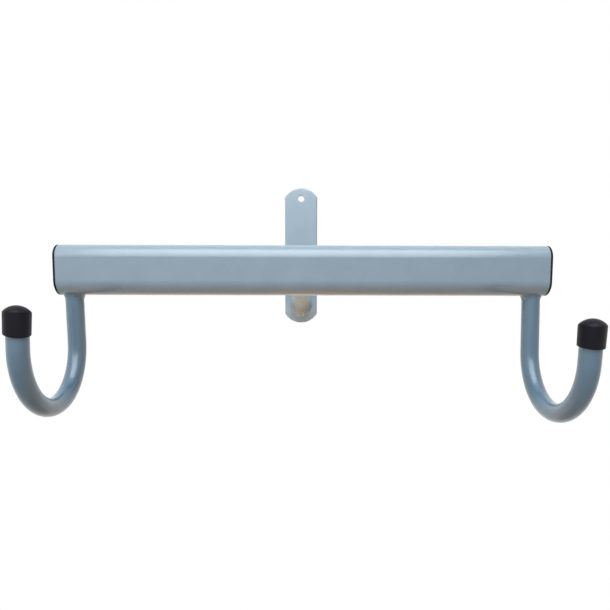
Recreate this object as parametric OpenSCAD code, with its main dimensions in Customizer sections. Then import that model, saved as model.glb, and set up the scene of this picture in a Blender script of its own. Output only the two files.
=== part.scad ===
// Wall-mounted bike hanger: a flat wall plate, a rising support arm, a crossbar and two J-hooks,
// all steel tube and flat bar welded together, with plastic plugs and rubber caps on the open ends.
// The origin is the middle of the plate's back face. +X runs along the crossbar, +Y into the wall.

/* [Wall plate] */
// Width of the flat bar
plate_w = 50; // [44:1:70]
// Height of the plate, end to end
plate_l = 208; // [190:1:260]
// Thickness of the flat bar
plate_t = 6; // [4:0.5:10]
// Radius of the arc that crops each end
plate_end_r = 29; // [26:0.5:34]
// Diameter of the two screw holes
screw_hole_d = 10; // [6:0.5:12]
// Upper screw hole's middle from the plate's top end
screw_inset = 16; // [12:0.5:22]
// Distance between the two screw holes
screw_spacing = 80; // [70:1:90]

/* [Support arm] */
// Outside diameter of the arm tube
arm_d = 26.9; // [22:0.1:27]
// Wall of the arm tube
arm_wall = 2.6; // [1.5:0.1:4]
// Height of the arm's axis over the plate's lower end, at the plate
arm_foot_h = 27.6; // [24:0.2:36]
// Slope at which the arm rises from the wall
arm_rise_angle = 13.5; // [6:0.5:18]

/* [Crossbar] */
// Length of the bar tube, without its end caps
bar_l = 587; // [480:1:760]
// Height of the bar's section
bar_h = 60; // [56:1:80]
// Depth of the bar's section
bar_d = 40; // [36:1:50]
// Corner radius of the bar's section
bar_corner_r = 16; // [10:0.5:16.5]
// Wall of the bar tube
bar_wall = 2; // [1.5:0.1:3]
// Middle of the bar from the wall
bar_reach = 186; // [140:1:300]
// How far the bar's middle sits to the right of the arm
bar_shift = 3; // [-6:0.5:6]

/* [Hooks] */
// Outside diameter of the hook tube
hook_d = 21.3; // [18:0.1:24]
// Wall of the hook tube
hook_wall = 2; // [1.5:0.1:3.5]
// Middle of each hook from its end of the bar tube
hook_inset = 13.5; // [13:0.5:60]
// Radius of the bend at the tube's centre line
bend_r = 66.5; // [50:0.5:85]
// Straight leg of the left hook
left_leg_l = 57.6; // [40:0.2:90]
// Straight leg of the right hook
right_leg_l = 67.9; // [40:0.2:90]
// Angle of the left hook's bend
left_bend_angle = 183.5; // [170:0.5:190]
// Angle of the right hook's bend
right_bend_angle = 173.8; // [170:0.1:190]
// Lean of the left hook about the bar, towards the wall at its lower end
left_lean_angle = 2.1; // [-4:0.1:4]
// Lean of the right hook about the bar, towards the wall at its lower end
right_lean_angle = -2.4; // [-4:0.1:4]
// Straight tip of the left hook, inside and below its cap
left_tip_l = 38; // [30:0.2:60]
// Straight tip of the right hook, inside and below its cap
right_tip_l = 36.8; // [30:0.2:60]

/* [Tip caps] */
// Length of a tip cap over its dome
cap_l = 28.5; // [24:0.5:30]
// Wall of the cap round the tube, below the dome
cap_wall = 2.4; // [2:0.1:4]
// How much thinner the wall is at the rim
cap_draft = 0.3; // [0:0.1:0.6]
// Slant of the cap's rim, lower on the side away from the wall
cap_rim_angle = 8; // [0:1:10]
// Thickness of the cap over the tube's end
cap_end_t = 5; // [3:0.5:7]
// Height of the dome over the cap's straight wall
cap_dome_h = 8; // [6:0.5:9]
// Radius of the rounding between the wall and the dome
cap_edge_r = 4; // [3:0.5:5]

/* [Bar end caps] */
// Thickness of the flange outside the tube
flange_t = 3; // [2:0.5:5]
// Rounding of the flange's outer edge
flange_edge_r = 1; // [0.5:0.1:1.5]
// Length of the plug inside the tube
plug_l = 18; // [14:1:30]
// Wall of the plug
plug_wall = 2; // [1.5:0.1:3]
// Number of fins round the plug
fin_count = 3; // [2:1:4]

/* [Weld beads] */
// Radius of the bead between the arm and the plate
plate_bead_r = 5; // [3:0.5:6]
// Radius of the bead between the arm and the bar
bar_bead_r = 3.5; // [2.5:0.5:5]
// Radius of the bead round the top of each hook
hook_bead_r = 3.6; // [2.4:0.2:5]

/* [Hidden] */
$fn = 96;

// How far cutting bodies reach past what they cut
overrun = 12;
// Clearance of a rubber cap on its tube, and of a fin in the bar tube
cap_fit = 0.05;
fin_fit = 0.1;
// Thickness of a plug's fin, and how far the plug's body stands back from the fin's rim
fin_t = 1.4;
fin_depth = 1.2;
// Share of the plug's length at which the first fin sits
first_fin_share = 0.25;
// Steps of the flange's rounded edge
edge_step_angle = 22.5;
// The straight tip laps over the bend and is a hair wider, so that the two fuse at any angle
tip_lap = 1;
tip_step = 0.02;

// Colours
enamel = [0.60, 0.68, 0.74];
bead_enamel = [0.55, 0.63, 0.69];
rubber = [0.09, 0.09, 0.10];
plastic = [0.12, 0.13, 0.15];

// Heights and depths of the crossbar, worked out along the arm
plate_front_y = -plate_t;
bar_y = -bar_reach;
bar_back_y = bar_y + bar_d/2;
arm_foot_z = arm_foot_h - plate_l/2;
arm_run = plate_front_y - bar_back_y;
bar_z = arm_foot_z + arm_run*tan(arm_rise_angle);
bar_bottom_z = bar_z - bar_h/2;
arm_span = arm_run/cos(arm_rise_angle);
upper_hole_z = plate_l/2 - screw_inset;
cap_r = hook_d/2 + cap_fit + cap_wall;

// A rectangle with rounded corners, in from the full section by inset, with exact arcs
module bar_section(inset) {
    w = bar_d - 2*inset;
    h = bar_h - 2*inset;
    r = bar_corner_r - inset;
    square([w, h - 2*r], center = true);
    square([w - 2*r, h], center = true);
    for (y = [-1, 1], z = [-1, 1])
        translate([y*(w/2 - r), z*(h/2 - r)]) circle(r);
}

// Stands a shape drawn across the bar at x, and draws it out along +X
module along_bar(x, length) {
    translate([x, bar_y, bar_z]) rotate([90, 0, 90]) linear_extrude(length) children();
}

// The bar as a solid bar, to cut the tubes that meet it
module bar_envelope() {
    along_bar(bar_shift - bar_l/2, bar_l) bar_section(0);
}

// From the arm's foot on the plate, with +Z along the arm's axis
module at_arm() {
    translate([0, plate_front_y, arm_foot_z]) rotate([90 - arm_rise_angle, 0, 0]) children();
}

// Everything on the wall's side of the plate's front face
module behind_plate_front() {
    side = 2*arm_d + overrun;
    translate([-side/2, plate_front_y, arm_foot_z - side/2]) cube(side);
}

// The arm as a solid bar, reaching past both of its ends
module arm_rod(radius) {
    at_arm() translate([0, 0, -overrun]) cylinder(r = radius, h = arm_span + 2*overrun);
}

// From the middle of a hook's upper end, turned by its lean. side is -1 for left and 1 for right
module at_hook(side, lean) {
    x = bar_shift + side*(bar_l/2 - hook_inset);
    translate([x, bar_y, bar_bottom_z]) rotate([lean, 0, 0]) children();
}

// From the start of the bend, in the plane of the hook, turned on by an angle
module at_bend(leg, angle) {
    translate([0, -bend_r, -leg]) rotate([-90, 0, 90]) rotate([0, 0, angle]) children();
}

// From the end of the bend, with +Z along the tip
module at_tip(leg, angle) {
    at_bend(leg, angle) translate([bend_r, 0, 0]) rotate([-90, 0, 0]) children();
}

// A rod of the hook's whole line: leg, bend and tip. past lengthens both ends
module hook_rod(radius, leg, angle, tip, past) {
    translate([0, 0, -leg]) cylinder(r = radius, h = leg + overrun + past);
    at_bend(leg, 0) rotate_extrude(angle = angle) translate([bend_r, 0]) circle(radius);
    at_tip(leg, angle) translate([0, 0, -tip_lap])
        cylinder(r = radius + tip_step, h = tip_lap + tip + past);
}

// A J-hook of round tube, coped to the underside of the bar
module hook(side, leg, angle, tip, lean) {
    difference() {
        at_hook(side, lean) hook_rod(hook_d/2, leg, angle, tip, 0);
        at_hook(side, lean) hook_rod(hook_d/2 - hook_wall, leg, angle, tip, overrun);
        bar_envelope();
    }
}

// Outline of a tip cap from its axis: straight wall, rounded shoulder and a dome tangent to it
module cap_profile() {
    wall_h = cap_l - cap_dome_h;
    shoulder = [cap_r - cap_edge_r, wall_h];
    dome_r = (pow(shoulder[0], 2) + pow(cap_dome_h, 2) - pow(cap_edge_r, 2))
        / (2*(cap_dome_h - cap_edge_r));
    dome_z = cap_l - dome_r;
    lean_out = atan2(shoulder[0], wall_h - dome_z);
    reach = 2*dome_r;
    polygon([[0, -cap_r], [cap_r - cap_draft, -cap_r], [cap_r - cap_draft, 0], [cap_r, wall_h], [0, wall_h]]);
    translate(shoulder) circle(cap_edge_r);
    intersection() {
        translate([0, dome_z]) circle(dome_r);
        translate([0, dome_z])
            polygon([[0, 0], [reach*sin(lean_out), reach*cos(lean_out)], [0, reach]]);
    }
}

// A rubber cap pushed over a hook's tip
module tip_cap(side, leg, angle, tip, lean) {
    seat = cap_l - cap_end_t;
    color(rubber)
    at_hook(side, lean) at_tip(leg, angle) translate([0, 0, tip + cap_fit - seat])
    difference() {
        rotate_extrude() intersection() {
            cap_profile();
            translate([0, -cap_r]) square([2*cap_r, cap_r + 2*cap_l]);
        }
        rotate([0, cap_rim_angle, 0]) translate([-2*cap_r, -2*cap_r, -4*cap_r]) cube(4*cap_r);
        translate([0, 0, -overrun]) cylinder(r = hook_d/2 + cap_fit, h = seat + overrun);
    }
}

// A bead laid round a rod of that radius, as a ring of round section
module bead_ring(rod_r, bead_r) {
    rotate_extrude() translate([rod_r, 0]) circle(bead_r);
}

// A bead round the upper end of a hook, against the bar and the tube
module hook_bead(side, lean) {
    color(bead_enamel)
    difference() {
        at_hook(side, lean) difference() {
            bead_ring(hook_d/2, hook_bead_r);
            translate([0, 0, -overrun]) cylinder(d = hook_d, h = 2*overrun);
        }
        bar_envelope();
    }
}

// A flange with the bar's outline and a rounded outer edge, from the tube's end outwards
module flange() {
    e = flange_edge_r;
    hull()
        for (a = [0:edge_step_angle:90])
            linear_extrude(flange_t - e + e*sin(a)) bar_section(e*(1 - cos(a)));
}

// The hollow plug behind the flange, with thin fins that grip the tube's inside
module plug() {
    body_in = bar_wall + fin_fit + fin_depth;
    pitch = plug_l*(1 - first_fin_share)/fin_count;
    difference() {
        union() {
            translate([0, 0, -plug_l]) linear_extrude(plug_l) bar_section(body_in);
            for (i = [0:fin_count - 1])
                translate([0, 0, -plug_l*first_fin_share - i*pitch - fin_t])
                    linear_extrude(fin_t) bar_section(bar_wall + fin_fit);
        }
        translate([0, 0, -plug_l - overrun])
            linear_extrude(plug_l + overrun) bar_section(body_in + plug_wall);
    }
}

// A plastic end cap pushed into one end of the bar. side is -1 for left and 1 for right
module bar_cap(side) {
    color(plastic)
    translate([bar_shift + side*bar_l/2, bar_y, bar_z])
    mirror([side < 0 ? 1 : 0, 0, 0]) rotate([90, 0, 90]) {
        flange();
        plug();
    }
}

// Flat bar with arc-cropped ends and two screw holes
module wall_plate() {
    arc_z = plate_l/2 - plate_end_r;
    color(enamel)
    rotate([90, 0, 0]) linear_extrude(plate_t) difference() {
        intersection() {
            square([plate_w, plate_l], center = true);
            union() {
                square([2*plate_end_r, 2*arc_z], center = true);
                for (z = [-1, 1]) translate([0, z*arc_z]) circle(plate_end_r);
            }
        }
        for (z = [upper_hole_z, upper_hole_z - screw_spacing])
            translate([0, z]) circle(d = screw_hole_d);
    }
}

// Round tube from the plate up to the back of the bar
module support_arm() {
    color(enamel)
    difference() {
        arm_rod(arm_d/2);
        arm_rod(arm_d/2 - arm_wall);
        behind_plate_front();
        bar_envelope();
    }
}

// Rounded tube across the front
module crossbar() {
    color(enamel)
    along_bar(bar_shift - bar_l/2, bar_l) difference() {
        bar_section(0);
        bar_section(bar_wall);
    }
}

module hook_left() {
    color(enamel) hook(-1, left_leg_l, left_bend_angle, left_tip_l, left_lean_angle);
}

module hook_right() {
    color(enamel) hook(1, right_leg_l, right_bend_angle, right_tip_l, right_lean_angle);
}

module tip_cap_left() {
    tip_cap(-1, left_leg_l, left_bend_angle, left_tip_l, left_lean_angle);
}

module tip_cap_right() {
    tip_cap(1, right_leg_l, right_bend_angle, right_tip_l, right_lean_angle);
}

// Bead round the foot of the arm, on the plate
module weld_plate() {
    color(bead_enamel)
    difference() {
        translate([0, plate_front_y, arm_foot_z]) rotate([90, 0, 0])
            bead_ring(arm_d/2, plate_bead_r);
        arm_rod(arm_d/2);
        behind_plate_front();
    }
}

// Bead round the head of the arm, on the back of the bar
module weld_bar() {
    color(bead_enamel)
    difference() {
        translate([0, bar_back_y, bar_z]) rotate([90, 0, 0])
            bead_ring(arm_d/2, bar_bead_r);
        arm_rod(arm_d/2);
        bar_envelope();
    }
}

wall_plate();
support_arm();
crossbar();
hook_left();
hook_right();
bar_cap(-1);  // bar_cap_left
bar_cap(1);  // bar_cap_right
tip_cap_left();
tip_cap_right();
weld_plate();
weld_bar();
hook_bead(-1, left_lean_angle);  // weld_hook_left
hook_bead(1, right_lean_angle);  // weld_hook_right
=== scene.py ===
import math
from collections import namedtuple

import bmesh
import bpy
from mathutils import Matrix, Vector


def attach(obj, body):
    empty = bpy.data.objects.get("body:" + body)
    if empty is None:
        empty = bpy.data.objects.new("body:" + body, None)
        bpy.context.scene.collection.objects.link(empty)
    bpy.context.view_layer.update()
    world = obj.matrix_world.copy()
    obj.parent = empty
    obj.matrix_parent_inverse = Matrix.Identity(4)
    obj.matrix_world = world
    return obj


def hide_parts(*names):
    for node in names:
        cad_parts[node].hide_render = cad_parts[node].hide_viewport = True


# A wall-mounted bike hanger in gloss enamel, lit as in a small studio. All lengths are in metres.
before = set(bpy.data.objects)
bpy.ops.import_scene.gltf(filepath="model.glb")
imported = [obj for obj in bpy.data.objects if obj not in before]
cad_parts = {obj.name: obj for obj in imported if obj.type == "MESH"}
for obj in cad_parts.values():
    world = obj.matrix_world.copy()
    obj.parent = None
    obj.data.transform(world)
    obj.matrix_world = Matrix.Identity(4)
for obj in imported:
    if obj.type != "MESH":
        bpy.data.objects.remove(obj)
scene = bpy.context.scene
bpy.context.view_layer.update()

MM = 0.001


def srgb(red, green, blue):
    """A colour given as 0 to 255 screen values, in the linear values that shaders take."""
    def linear(value):
        share = value/255
        return share/12.92 if share <= 0.04045 else ((share + 0.055)/1.055)**2.4
    return (linear(red), linear(green), linear(blue), 1.0)


# Camera and studio
CAMERA_PLACE = Vector((0.7, -819.7, -91.5))*MM
CAMERA_PITCH = math.radians(-4.87)
CAMERA_YAW = math.radians(0.4)
CAMERA_ROLL = math.radians(0.115)
LENS = 30.25
SENSOR = 36.0
SHIFT_Y = 0.0874

FLOOR_Z = -1.05
FLOOR_SIZE = 12.0
FLOOR_BOUNCE = srgb(95, 76, 62)
FLOOR_SEEN = srgb(236, 236, 236)
FLOOR_LIFT = 0.35
# Past this distance on the floor the shadow has faded out and the floor is plain white
SHADOW_REACH = 0.7
SHADOW_FADE_FROM = 0.45*SHADOW_REACH
WORLD_COLOR = srgb(222, 236, 250)
WORLD_LEVEL = 0.055


def make_camera():
    data = bpy.data.cameras.new("camera")
    data.sensor_fit = "HORIZONTAL"
    data.sensor_width = SENSOR
    data.lens = LENS
    data.shift_y = SHIFT_Y
    data.clip_start = 0.01
    data.clip_end = 50.0
    camera = bpy.data.objects.new("camera", data)
    scene.collection.objects.link(camera)
    forward = Vector((
        math.sin(CAMERA_YAW)*math.cos(CAMERA_PITCH),
        math.cos(CAMERA_YAW)*math.cos(CAMERA_PITCH),
        math.sin(CAMERA_PITCH),
    ))
    turn = forward.to_track_quat("-Z", "Y") @ Matrix.Rotation(CAMERA_ROLL, 3, "Z").to_quaternion()
    camera.rotation_mode = "QUATERNION"
    camera.rotation_quaternion = turn
    camera.location = CAMERA_PLACE
    scene.camera = camera


def add_area(name, place, target, width, height, power, color, seen_by):
    """A rectangular lamp that lights by diffuse rays, glossy rays or all, and is never in view."""
    data = bpy.data.lights.new(name, "AREA")
    data.shape = "RECTANGLE"
    data.size = width
    data.size_y = height
    data.energy = power
    data.color = color
    lamp = bpy.data.objects.new(name, data)
    scene.collection.objects.link(lamp)
    lamp.visible_camera = False
    lamp.visible_diffuse = seen_by != "glossy"
    lamp.visible_glossy = seen_by != "diffuse"
    lamp.location = place
    lamp.rotation_mode = "QUATERNION"
    lamp.rotation_quaternion = (Vector(target) - Vector(place)).to_track_quat("-Z", "Y")


# Lamps: name, place, target, width, height, power, colour, and the rays that see them
LAMPS = (
    ("ceiling", (0.0, -1.4, 1.6), (0, -0.2, 0),
     1.4, 0.8, 21.5, (0.95, 0.98, 1.0), "diffuse"),
    ("shelf", (0.0, -0.13, 0.55), (0, -0.03, 0),
     0.9, 0.12, 1.4, (1.0, 0.99, 0.97), "diffuse"),
    ("window", (-1.5, -2.1, 0.9), (0, -0.2, -0.05),
     0.9, 1.2, 3.4, (1.0, 1.0, 1.0), "all"),
    ("left", (-1.8, -0.5, 0.2), (0, -0.2, 0),
     0.8, 1.2, 4.6, (1.0, 1.0, 1.0), "diffuse"),
    ("side", (-0.9, -1.5, 0.3), (0, -0.2, -0.1),
     1.0, 1.2, 2.2, (0.98, 0.99, 1.0), "diffuse"),
    ("front", (-0.25, -2.2, 0.05), (0, -0.2, -0.05),
     1.2, 1.2, 4.45, (0.99, 0.99, 1.0), "diffuse"),
    ("bounce", (0.02, -0.2, -0.7), (0, -0.15, -0.1),
     0.45, 0.4, 0.4, (1.0, 0.5, 0.2), "diffuse"),
    ("arm_bounce", (0.02, -0.09, -0.5), (0, -0.04, -0.08),
     0.12, 0.10, 0.7, (1.0, 0.44, 0.14), "diffuse"),
    ("fill_left", (-0.16, -0.1, -0.2), (-0.01, 0, -0.09),
     0.08, 0.08, 0.09, (1.0, 0.84, 0.66), "diffuse"),
    ("fill_right", (0.16, -0.1, -0.2), (0.01, 0, -0.09),
     0.08, 0.08, 0.045, (1.0, 0.82, 0.62), "diffuse"),
    ("skylight", (-0.02, -1.55, 1.4), (0, -0.2, -0.1),
     2.1, 2.2, 50.0, (0.95, 0.98, 1.0), "glossy"),
)


def add_lamps():
    for lamp in LAMPS:
        add_area(*lamp)


# The range that the noise texture mostly fills
NOISE_LOW = 0.3
NOISE_HIGH = 0.7


def new_material(name):
    material = bpy.data.materials.new(name)
    material.use_nodes = True
    nodes = material.node_tree.nodes
    return material, nodes, material.node_tree.links, nodes["Principled BSDF"]


def add_noise_mix(nodes, links, scale, detail, low, high):
    """Noise in object space, spread over two values."""
    where = nodes.new("ShaderNodeTexCoord")
    noise = nodes.new("ShaderNodeTexNoise")
    noise.inputs["Scale"].default_value = scale
    noise.inputs["Detail"].default_value = detail
    links.new(where.outputs["Object"], noise.inputs["Vector"])
    spread = nodes.new("ShaderNodeMapRange")
    spread.inputs["From Min"].default_value = NOISE_LOW
    spread.inputs["From Max"].default_value = NOISE_HIGH
    spread.inputs["To Min"].default_value = low
    spread.inputs["To Max"].default_value = high
    links.new(noise.outputs["Fac"], spread.inputs["Value"])
    return spread.outputs["Result"]


def add_bumps(nodes, links, layers):
    """Chains bump nodes, each fed by noise of its own scale. A layer is scale, detail and depth."""
    normal = None
    for scale, detail, depth in layers:
        bump = nodes.new("ShaderNodeBump")
        bump.inputs["Distance"].default_value = depth
        links.new(add_noise_mix(nodes, links, scale, detail, 0.0, 1.0), bump.inputs["Height"])
        if normal:
            links.new(normal, bump.inputs["Normal"])
        normal = bump.outputs["Normal"]
    return normal


def tint_by_noise(nodes, links, dark, light, scale, detail):
    """A colour that wanders between two near tones."""
    mix = nodes.new("ShaderNodeMix")
    mix.data_type = "RGBA"
    # Sockets 6, 7 and output 2 are the ones for colours
    mix.inputs[6].default_value = dark
    mix.inputs[7].default_value = light
    links.new(add_noise_mix(nodes, links, scale, detail, 0.0, 1.0), mix.inputs[0])
    return mix.outputs[2]


# Each paint's darker and lighter tone
ENAMEL_TONES = (srgb(162, 188, 206), srgb(168, 194, 212))
HOOK_TONES = (srgb(101, 137, 162), srgb(107, 143, 168))
BEAD_TONES = (srgb(150, 172, 186), srgb(160, 182, 196))
HOOK_BEAD_TONES = (srgb(103, 137, 160), srgb(112, 146, 170))
RUBBER_TONES = (srgb(7, 4, 8), srgb(12, 9, 15))
PLASTIC_TONES = (srgb(12, 14, 18), srgb(20, 23, 28))
# Depths of the orange peel, by piece
PEEL_DEPTH = 0.04*MM
HOOK_PEEL_DEPTH = 0.05*MM
BEAD_PEEL_DEPTH = 0.08*MM
PEEL_SCALE = 260.0
NIB_SCALE = 1400.0
NIB_SHARE = 0.12


def make_enamel(name, tones, peel_depth, gloss=1.0):
    """Gloss enamel: a clear sheen over paint, with orange peel and fine nibs.

    tones are its darker and lighter colour, and gloss is 1 where the sheen is at its full strength.
    """
    material, nodes, links, shader = new_material(name)
    links.new(
        tint_by_noise(nodes, links, *tones, scale=38.0, detail=4.0),
        shader.inputs["Base Color"],
    )
    links.new(
        add_noise_mix(nodes, links, scale=90.0, detail=3.0, low=0.30, high=0.40),
        shader.inputs["Roughness"],
    )
    shader.inputs["Specular IOR Level"].default_value = 0.5*gloss
    shader.inputs["Coat Weight"].default_value = 0.8*gloss
    shader.inputs["Coat Roughness"].default_value = 0.13
    shader.inputs["Coat IOR"].default_value = 1.5
    layers = ((PEEL_SCALE, 2.0, peel_depth), (NIB_SCALE, 2.0, peel_depth*NIB_SHARE))
    normal = add_bumps(nodes, links, layers)
    links.new(normal, shader.inputs["Normal"])
    links.new(normal, shader.inputs["Coat Normal"])
    return material


def make_rubber():
    """Black rubber with a soft bloom."""
    material, nodes, links, shader = new_material("tip_rubber")
    links.new(
        tint_by_noise(nodes, links, *RUBBER_TONES, scale=70.0, detail=5.0),
        shader.inputs["Base Color"],
    )
    links.new(
        add_noise_mix(nodes, links, scale=160.0, detail=4.0, low=0.38, high=0.48),
        shader.inputs["Roughness"],
    )
    shader.inputs["Specular IOR Level"].default_value = 0.22
    shader.inputs["Specular Tint"].default_value = (0.8, 0.84, 1.0, 1.0)
    links.new(add_bumps(nodes, links, [(1800.0, 3.0, 0.03*MM)]), shader.inputs["Normal"])
    return material


def make_plastic():
    """Black moulded plastic with a fine spark-eroded grain."""
    material, nodes, links, shader = new_material("cap_plastic")
    links.new(
        tint_by_noise(nodes, links, *PLASTIC_TONES, scale=60.0, detail=4.0),
        shader.inputs["Base Color"],
    )
    links.new(
        add_noise_mix(nodes, links, scale=200.0, detail=4.0, low=0.40, high=0.52),
        shader.inputs["Roughness"],
    )
    shader.inputs["Specular IOR Level"].default_value = 0.2
    links.new(add_bumps(nodes, links, [(2600.0, 2.0, 0.02*MM)]), shader.inputs["Normal"])
    return material


def dress(names, material):
    """Gives pieces of the CAD a material, and leaves their meshes alone."""
    for name in names:
        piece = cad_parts[name]
        piece.material_slots[0].material = material


# The hanger's main sizes, as in the CAD, for the beads, the tip caps and the plate's edges
PLATE_FRONT_Y = -6*MM
HOLE_PLACES = (88*MM, 8*MM)
ARM_FOOT_Z = -76.4*MM
ARM_RISE = math.radians(13.5)
ARM_R = 13.45*MM
BAR_Y = -186*MM
BAR_Z = -37.988*MM
BAR_HALF_DEPTH = 20*MM
BAR_HALF_HEIGHT = 30*MM
BAR_CORNER_R = 16*MM
BAR_UNDERSIDE_Z = BAR_Z - BAR_HALF_HEIGHT
BAR_BACK_Y = BAR_Y + BAR_HALF_DEPTH
HOOK_R = 10.65*MM
BEND_R = 66.5*MM
Hook = namedtuple("Hook", ("x", "lean", "leg", "bend", "tip"))
HOOKS = {
    "left": Hook(-277*MM, math.radians(2.1), 57.6*MM, math.radians(183.5), 38*MM),
    "right": Hook(283*MM, math.radians(-2.4), 67.9*MM, math.radians(173.8), 36.8*MM),
}

CAP_L = 28.5*MM
CAP_R = 13.0*MM
CAP_DRAFT = 0.3*MM
CAP_DOME_H = 8*MM
CAP_EDGE_R = 4*MM
CAP_RIM_R = 0.4*MM
CAP_BORE_R = 10.7*MM
CAP_BORE_EDGE = 0.3*MM
CAP_FIT = 0.05*MM
CAP_SEAT = 23.5*MM
# How high up a cap's wall its rim's slant has an effect, as a share of the wall's height
CAP_SLANT_REACH = 1/1.5
# How each cap sits: how far it is off its tip, its lean to the right, how far its rim drops towards
# the camera and to the right, as shares of its radius, and how far the whole rim is raised
CapFit = namedtuple("CapFit", ("lift", "lean_right", "drop_toward", "drop_right", "rim_lift"))
CAP_FITS = {
    "left": CapFit(0.45*MM, math.radians(2), 0.28, 0.015, 0.25*MM),
    "right": CapFit(1.2*MM, 0.0, 0.13, 0.07, 1.0*MM),
}

# Radii of the plate's outer front edges and its holes' edges
PLATE_EDGE_R = 2.2*MM
HOLE_EDGE_R = 0.5*MM
# Edges that are nearer than this to a hole's middle are its own
HOLE_REACH = 7*MM
FLAT_ANGLE = math.radians(0.5)
SHARP_ANGLE = math.radians(40)
MERGE_DISTANCE = 1e-6


def corner_drop(across, half_flat):
    """How far the bar's skin is below its flat, at that distance across from the middle."""
    past = min(max(abs(across) - half_flat, 0.0), BAR_CORNER_R)
    return BAR_CORNER_R - math.sqrt(BAR_CORNER_R**2 - past**2)


# Each of these gives a point's distance to a carrying surface, along the rod as near as matters
def to_bar_underside(point):
    level = BAR_UNDERSIDE_Z + corner_drop(point.y - BAR_Y, BAR_HALF_DEPTH - BAR_CORNER_R)
    return level - point.z


def to_bar_back(point):
    level = BAR_BACK_Y - corner_drop(point.z - BAR_Z, BAR_HALF_HEIGHT - BAR_CORNER_R)
    return point.y - level


def to_plate(point):
    return PLATE_FRONT_Y - point.y


MEET_STEPS = 12


def meet(place, x, y, distance_to):
    """Height along the rod's axis at which a line beside the axis meets the carrying surface."""
    z = 0.0
    for _ in range(MEET_STEPS):
        z += distance_to(place @ Vector((x, y, z)))
    return z


# Waves round the rod: share of the whole, number of waves, and shift by the seed
WAVES = ((0.5, 2, 1.0), (0.3, 5, 2.3), (0.2, 11, 4.1))


def wander(turn, seed):
    """A slow, smooth change round the rod, between about -1 and 1."""
    return sum(share*math.sin(number*turn + shift*seed) for share, number, shift in WAVES)


def add_piece(name, mesh, material):
    """Makes a bmesh into an object of the scene."""
    data = bpy.data.meshes.new(name)
    mesh.to_mesh(data)
    mesh.free()
    data.materials.append(material)
    piece = bpy.data.objects.new(name, data)
    scene.collection.objects.link(piece)
    return piece


BEAD_TURNS = 360
BEAD_STEPS = 12
BEAD_PITCH = 2.8*MM
BEAD_RIPPLE = 0.42*MM
BEAD_ROOT = 0.6*MM
# How much a bead's width and length wander, and how its ripples bow and wander
FLARE_WANDER = 0.30
DROP_WANDER = 0.14
RIPPLE_BOW = 0.45
RIPPLE_WANDER = 0.2
RIPPLE_LEVEL = 0.6


def make_bead(name, node, place, distance_to, rod_r, flare, drop, bulge, material):
    """A hand-laid weld bead round a rod, as a closed ring with overlapping ripples.

    place puts +Z along the rod, towards the surface that carries it. flare is the bead's width on
    that surface and drop its length along the rod. bulge is how far its face stands out, as a share
    of the face's width, and below zero the face is hollow.
    """
    seed = 1.7*len(name)
    count = round(2*math.pi*rod_r/BEAD_PITCH)
    mesh = bmesh.new()
    rings = []
    for i in range(BEAD_TURNS):
        turn = 2*math.pi*i/BEAD_TURNS
        aside = Vector((math.cos(turn), math.sin(turn)))
        width = flare*(1 + FLARE_WANDER*wander(turn, seed))
        length = drop*(1 + DROP_WANDER*wander(turn, seed + 2))
        toe = Vector((rod_r + width, meet(place, *(aside*(rod_r + width)), distance_to)))
        corner = Vector((rod_r, meet(place, *(aside*rod_r), distance_to)))
        foot = corner - Vector((0, length))
        chord = foot - toe
        out = Vector((-chord.y, chord.x)).normalized()
        if out.dot(corner - toe) > 0:
            out = -out
        ring = []
        for j in range(BEAD_STEPS + 1):
            share = j/BEAD_STEPS
            arch = math.sin(math.pi*share)
            phase = count*turn/(2*math.pi) + RIPPLE_BOW*arch + RIPPLE_WANDER*wander(turn, seed + 5)
            scallop = abs(math.sin(math.pi*phase))
            rise = arch*(bulge*chord.length + BEAD_RIPPLE*(scallop - RIPPLE_LEVEL))
            ring.append(toe + chord*share + out*rise)
        ring.append(foot + Vector((-BEAD_ROOT, 0)))
        ring.append(corner + Vector((-BEAD_ROOT, BEAD_ROOT)))
        ring.append(toe + Vector((0, BEAD_ROOT)))
        rings.append([mesh.verts.new(place @ Vector((*(aside*p.x), p.y))) for p in ring])
    for one, two in zip(rings, rings[1:] + rings[:1]):
        for k in range(len(one)):
            follow = (k + 1) % len(one)
            mesh.faces.new((one[k], two[k], two[follow], one[follow])).smooth = True
    bmesh.ops.recalc_face_normals(mesh, faces=mesh.faces)
    bead = add_piece(name, mesh, material)
    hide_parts(node)
    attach(bead, "root")


def rod_place(x, y, z, tilt):
    """The frame at that point of a rod, with +Z along it."""
    return Matrix.Translation((x, y, z)) @ Matrix.Rotation(tilt, 4, "X")


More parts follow.
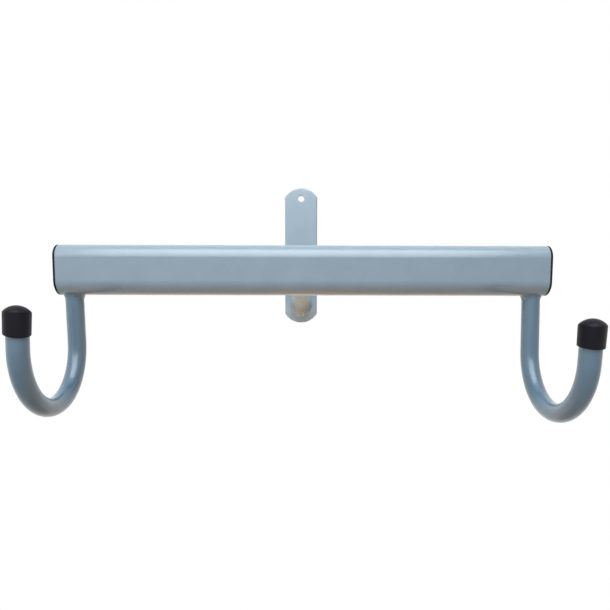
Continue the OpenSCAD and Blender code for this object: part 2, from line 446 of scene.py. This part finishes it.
def round_plate_edges(material):
    """The wall plate with its outer edges rounded over, and the screw holes' edges only broken."""
    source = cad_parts["wall_plate"]
    data = source.data.copy()
    mesh = bmesh.new()
    mesh.from_mesh(data)
    mesh.transform(source.matrix_world)
    bmesh.ops.remove_doubles(mesh, verts=mesh.verts, dist=MERGE_DISTANCE)
    bmesh.ops.dissolve_limit(mesh, angle_limit=FLAT_ANGLE, verts=mesh.verts, edges=mesh.edges)
    for at_hole, width in ((False, PLATE_EDGE_R), (True, HOLE_EDGE_R)):
        edges = []
        for edge in mesh.edges:
            if len(edge.link_faces) != 2 or edge.calc_face_angle() < SHARP_ANGLE:
                continue
            middle = (edge.verts[0].co + edge.verts[1].co)/2
            near = any(math.hypot(middle.x, middle.z - z) < HOLE_REACH for z in HOLE_PLACES)
            front = middle.y < PLATE_FRONT_Y/2
            level = abs(edge.verts[0].co.y - edge.verts[1].co.y) < MM
            if near == at_hole and front and level:
                edges.append(edge)
        bmesh.ops.bevel(
            mesh, geom=edges, offset=width, segments=5, profile=0.5, affect="EDGES",
            clamp_overlap=True,
        )
    for face in mesh.faces:
        face.smooth = True
    mesh.to_mesh(data)
    mesh.free()
    # The CAD's own normals no longer fit the rounded edges
    if "custom_normal" in data.attributes:
        data.attributes.remove(data.attributes["custom_normal"])
    data.materials.clear()
    data.materials.append(material)
    plate = bpy.data.objects.new("plate", data)
    scene.collection.objects.link(plate)
    weigh = plate.modifiers.new("weigh", "WEIGHTED_NORMAL")
    weigh.keep_sharp = True
    weigh.weight = 100
    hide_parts("wall_plate")
    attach(plate, "root")


def tip_place(hook):
    """The frame at the end of a hook's bend, with +Z along its tip."""
    quarter = math.radians(90)
    return (
        rod_place(hook.x, BAR_Y, BAR_UNDERSIDE_Z, hook.lean)
        @ Matrix.Translation((0, -BEND_R, -hook.leg))
        @ Matrix.Rotation(quarter, 4, "Z") @ Matrix.Rotation(-quarter, 4, "X")
        @ Matrix.Rotation(hook.bend, 4, "Z") @ Matrix.Translation((BEND_R, 0, 0))
        @ Matrix.Rotation(-quarter, 4, "X")
    )


def cap_outline():
    """A cap's outline from the bottom of its bore, round the rim and up to the top.

    Each point is a radius, a height, and its share of the rim's slant.
    """
    wall_h = CAP_L - CAP_DOME_H
    middle = CAP_R - CAP_EDGE_R
    dome_r = (middle**2 + CAP_DOME_H**2 - CAP_EDGE_R**2)/(2*(CAP_DOME_H - CAP_EDGE_R))
    lean_out = math.atan2(middle, wall_h - CAP_L + dome_r)
    rim_r = CAP_R - CAP_DRAFT
    points = [
        (CAP_BORE_R, CAP_SEAT, 0.0),
        (CAP_BORE_R, CAP_BORE_EDGE, 1.0),
        (CAP_BORE_R + CAP_BORE_EDGE, 0.0, 1.0),
    ]
    rim_steps, wall_steps, edge_steps, dome_steps = 4, 12, 8, 16
    for i in range(rim_steps + 1):
        turn = math.radians(90*i/rim_steps)
        radius = rim_r - CAP_RIM_R*(1 - math.sin(turn))
        points.append((radius, CAP_RIM_R*(1 - math.cos(turn)), 1.0))
    for i in range(1, wall_steps + 1):
        share = i/wall_steps
        height = CAP_RIM_R + (wall_h - CAP_RIM_R)*share
        points.append((rim_r + CAP_DRAFT*share, height, max(0.0, 1 - share/CAP_SLANT_REACH)))
    for i in range(1, edge_steps + 1):
        turn = (math.pi/2 - lean_out)*i/edge_steps
        radius = middle + CAP_EDGE_R*math.cos(turn)
        points.append((radius, wall_h + CAP_EDGE_R*math.sin(turn), 0.0))
    for i in range(1, dome_steps):
        turn = lean_out*(1 - i/dome_steps)
        points.append((dome_r*math.sin(turn), CAP_L - dome_r + dome_r*math.cos(turn), 0.0))
    return points


CAP_TURNS = 128


def make_cap(name, node, hook, fit, material):
    """A rubber cap pushed over a hook's tip, a little askew."""
    along = hook.tip + CAP_FIT - CAP_SEAT + fit.lift
    seat = tip_place(hook) @ Matrix.Translation((0, 0, along))
    middle = seat @ Vector((0, 0, CAP_L/2))
    lean = Matrix.Rotation(fit.lean_right, 4, "Y")
    seat = Matrix.Translation(middle) @ lean @ Matrix.Translation(-middle) @ seat
    toward = (CAMERA_PLACE - middle).to_2d().normalized()
    right = Vector((-toward.y, toward.x))
    mesh = bmesh.new()
    outline = cap_outline()
    rings = []
    for i in range(CAP_TURNS):
        turn = 2*math.pi*i/CAP_TURNS
        cos, sin = math.cos(turn), math.sin(turn)
        out = (seat.to_3x3() @ Vector((cos, sin, 0))).to_2d()
        slant = fit.drop_toward*out.dot(toward) + fit.drop_right*out.dot(right)
        drop = CAP_R*slant - fit.rim_lift
        rings.append([
            mesh.verts.new(seat @ Vector((radius*cos, radius*sin, height - drop*share)))
            for radius, height, share in outline
        ])
    top = mesh.verts.new(seat @ Vector((0, 0, CAP_L)))
    inside = mesh.verts.new(seat @ Vector((0, 0, CAP_SEAT)))
    for one, two in zip(rings, rings[1:] + rings[:1]):
        for k in range(len(one) - 1):
            mesh.faces.new((one[k], two[k], two[k + 1], one[k + 1])).smooth = True
        mesh.faces.new((one[-1], two[-1], top)).smooth = True
        mesh.faces.new((two[0], one[0], inside))
    bmesh.ops.recalc_face_normals(mesh, faces=mesh.faces)
    cap = add_piece(name, mesh, material)
    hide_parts(node)
    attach(cap, "root")


# Floor and world: the camera and mirrors see white, while the bounce on the object stays warm.
def white_for_view(nodes, links, plain, white):
    """Mixes the plain shader with white, for camera, glossy and transmission rays."""
    path = nodes.new("ShaderNodeLightPath")
    seen = path.outputs["Is Camera Ray"]
    for ray in ("Is Glossy Ray", "Is Transmission Ray"):
        either = nodes.new("ShaderNodeMath")
        either.operation = "MAXIMUM"
        links.new(seen, either.inputs[0])
        links.new(path.outputs[ray], either.inputs[1])
        seen = either.outputs[0]
    mix = nodes.new("ShaderNodeMixShader")
    links.new(seen, mix.inputs[0])
    links.new(plain, mix.inputs[1])
    links.new(white, mix.inputs[2])
    return mix.outputs[0]


def make_world():
    world = bpy.data.worlds.new("studio")
    world.use_nodes = True
    nodes, links = world.node_tree.nodes, world.node_tree.links
    plain = nodes["Background"]
    plain.inputs["Color"].default_value = WORLD_COLOR
    plain.inputs["Strength"].default_value = WORLD_LEVEL
    white = nodes.new("ShaderNodeBackground")
    white.inputs["Color"].default_value = (1.0, 1.0, 1.0, 1.0)
    links.new(
        white_for_view(nodes, links, plain.outputs[0], white.outputs[0]),
        nodes["World Output"].inputs["Surface"],
    )
    scene.world = world


def make_floor():
    """A floor that keeps the object's shadow near by and fades to plain white further out."""
    mesh = bpy.data.meshes.new("floor")
    half = FLOOR_SIZE/2
    corners = [(-half, -half, 0), (half, -half, 0), (half, half, 0), (-half, half, 0)]
    mesh.from_pydata(corners, [], [(0, 1, 2, 3)])
    floor = bpy.data.objects.new("floor", mesh)
    floor.location.z = FLOOR_Z
    scene.collection.objects.link(floor)
    material, nodes, links, shader = new_material("floor")
    shader.inputs["Base Color"].default_value = FLOOR_BOUNCE
    shader.inputs["Roughness"].default_value = 0.9
    lit = nodes.new("ShaderNodeBsdfDiffuse")
    lit.inputs["Color"].default_value = FLOOR_SEEN
    lift = nodes.new("ShaderNodeEmission")
    lift.inputs["Strength"].default_value = FLOOR_LIFT
    near = nodes.new("ShaderNodeAddShader")
    links.new(lit.outputs[0], near.inputs[0])
    links.new(lift.outputs[0], near.inputs[1])
    where = nodes.new("ShaderNodeTexCoord")
    radius = nodes.new("ShaderNodeVectorMath")
    radius.operation = "LENGTH"
    links.new(where.outputs["Object"], radius.inputs[0])
    fade = nodes.new("ShaderNodeMapRange")
    fade.interpolation_type = "SMOOTHSTEP"
    fade.inputs["From Min"].default_value = SHADOW_FADE_FROM
    fade.inputs["From Max"].default_value = SHADOW_REACH
    links.new(radius.outputs["Value"], fade.inputs["Value"])
    far = nodes.new("ShaderNodeEmission")
    white = nodes.new("ShaderNodeMixShader")
    links.new(fade.outputs["Result"], white.inputs[0])
    links.new(near.outputs[0], white.inputs[1])
    links.new(far.outputs[0], white.inputs[2])
    links.new(
        white_for_view(nodes, links, shader.outputs[0], white.outputs[0]),
        nodes["Material Output"].inputs["Surface"],
    )
    mesh.materials.append(material)


make_camera()
make_world()
make_floor()
add_lamps()

enamel = make_enamel("enamel_paint", ENAMEL_TONES, PEEL_DEPTH)
hook_enamel = make_enamel("hook_paint", HOOK_TONES, HOOK_PEEL_DEPTH)
bead_enamel = make_enamel("bead_paint", BEAD_TONES, BEAD_PEEL_DEPTH)
hook_bead_enamel = make_enamel("hook_bead_paint", HOOK_BEAD_TONES, BEAD_PEEL_DEPTH)
dress(("crossbar",), enamel)
# The arm has the same enamel, but with its sheen cut to a fifth: painted shade, which darkens the
# arm as if its underside lay in shade
dress(("support_arm",), make_enamel("arm_paint_dulled_as_shade", ENAMEL_TONES, PEEL_DEPTH, gloss=0.2))
dress(("hook_left", "hook_right"), hook_enamel)
rubber = make_rubber()
for side, hook in HOOKS.items():
    make_cap("cap_" + side, "tip_cap_" + side, hook, CAP_FITS[side], rubber)
dress(("bar_cap_left", "bar_cap_right"), make_plastic())
round_plate_edges(enamel)

for side, hook in HOOKS.items():
    make_bead(
        "bead_hook_" + side, "weld_hook_" + side,
        rod_place(hook.x, BAR_Y, BAR_UNDERSIDE_Z, hook.lean),
        to_bar_underside, HOOK_R,
        flare=2.0*MM, drop=6.0*MM, bulge=-0.10, material=hook_bead_enamel,
    )
make_bead(
    "bead_plate", "weld_plate",
    rod_place(0, PLATE_FRONT_Y, ARM_FOOT_Z, math.radians(270) - ARM_RISE),
    to_plate, ARM_R,
    flare=4.0*MM, drop=5.5*MM, bulge=0.0, material=bead_enamel,
)
make_bead(
    "bead_bar", "weld_bar",
    rod_place(0, BAR_BACK_Y, BAR_Z, math.radians(90) - ARM_RISE),
    to_bar_back, ARM_R,
    flare=3.6*MM, drop=4.2*MM, bulge=0.06, material=bead_enamel,
)

scene.view_settings.view_transform = "Standard"
bpy.context.view_layer.update()
